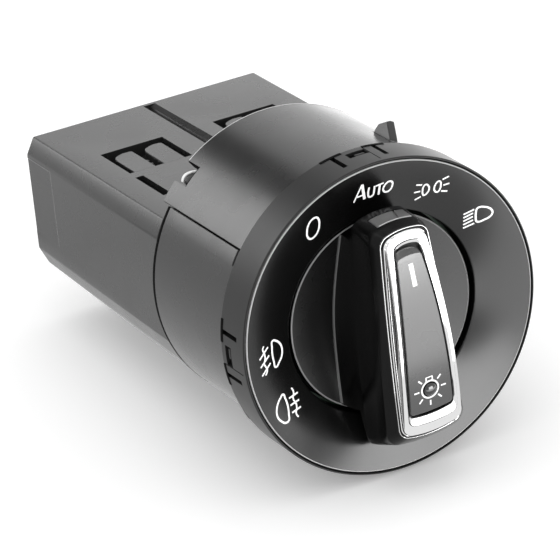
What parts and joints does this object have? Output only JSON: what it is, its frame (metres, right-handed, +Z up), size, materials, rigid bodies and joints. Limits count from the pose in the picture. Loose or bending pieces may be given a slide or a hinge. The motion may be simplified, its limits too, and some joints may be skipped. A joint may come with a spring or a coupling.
{
  "type": "rotary headlight switch for a vehicle dashboard",
  "caption": "Round dashboard lamp switch: satin black symbol face with a chrome-framed winged knob, a drum body behind it and a tapered case with a pin connector at the rear.",
  "frame": {"origin": "on the turning axis of the knob, in the plane where the rear edge of the bezel ring meets the dashboard", "axes": "knob faces -Y and the connector end points to +Y, +Z is up as fitted in the dashboard, +X is to the right as the driver looks at the face"},
  "size_m": [0.08, 0.1391, 0.08],
  "materials": {
    "bezel_plastic": "fine grained moulded plastic",
    "satin_black_face": "satin black painted face with light symbols",
    "housing_plastic": "grey moulded plastic",
    "gloss_black": "polished black plastic",
    "insert_gloss": "polished dark grey insert",
    "chrome_plate": "bright plated trim",
    "clear_lens": "clear moulded light guide",
    "inner_black": "black moulded plastic",
    "board_green": "printed circuit board",
    "lamp_white": "small surface lamp",
    "tinned_terminal": "tin plated metal",
    "contact_brass": "spring brass leaf",
    "spring_steel": "drawn spring wire"
  },
  "bodies": {
    "housing": {"bezel_ring": "bezel_plastic", "face_plate": "satin_black_face", "light_guide": "clear_lens", "lamp_board": "board_green", "lamp_1": "lamp_white", "lamp_2": "lamp_white", "lamp_3": "lamp_white", "lamp_4": "lamp_white", "lamp_5": "lamp_white", "lamp_6": "lamp_white", "front_frame": "inner_black", "barrel_upper": "housing_plastic", "barrel_lower": "housing_plastic", "side_hook": "housing_plastic", "rear_housing": "housing_plastic", "terminal_01": "tinned_terminal", "terminal_02": "tinned_terminal", "terminal_03": "tinned_terminal", "terminal_04": "tinned_terminal", "terminal_05": "tinned_terminal", "terminal_06": "tinned_terminal", "terminal_07": "tinned_terminal", "terminal_08": "tinned_terminal", "terminal_09": "tinned_terminal", "terminal_10": "tinned_terminal", "contact_carrier": "inner_black", "mid_frame": "inner_black", "contact_board": "board_green", "latch_guide": "inner_black", "latch_spring": "spring_steel", "detent_block": "inner_black", "detent_spring": "spring_steel"},
    "rotor": {"rotor": "inner_black", "wiper_disc": "inner_black", "wiper_1": "contact_brass", "wiper_2": "contact_brass", "wiper_3": "contact_brass"},
    "knob": {"knob_shaft": "inner_black", "knob_disc": "gloss_black", "knob_grip": "gloss_black", "tip_lens": "clear_lens", "chrome_frame": "chrome_plate", "insert_panel": "insert_gloss", "indicator_dome": "gloss_black"},
    "latch": {"latch_lug": "housing_plastic"},
    "plunger": {"detent_plunger": "tinned_terminal"}
  },
  "joints": [
    {"name": "rotor_turn", "type": "hinge", "parent": "housing", "child": "rotor", "pos_m": [0, 0, 0], "axis": [0, -1, 0], "range_deg": [-60, 30]},
    {"name": "knob_pull", "type": "slide", "parent": "rotor", "child": "knob", "axis": [0, -1, 0], "range_m": [-0.002, 0.007]},
    {"name": "latch_slide", "type": "slide", "parent": "housing", "child": "latch", "axis": [-0.4909, 0, -0.8712], "range_m": [0, 0.0046], "stiffness_N_per_m": 500, "deforming": ["latch_spring"]},
    {"name": "plunger_slide", "type": "slide", "parent": "housing", "child": "plunger", "axis": [-0.5, 0, -0.866], "range_m": [0, 0.0012], "stiffness_N_per_m": 500, "deforming": ["detent_spring"]}
  ]
}
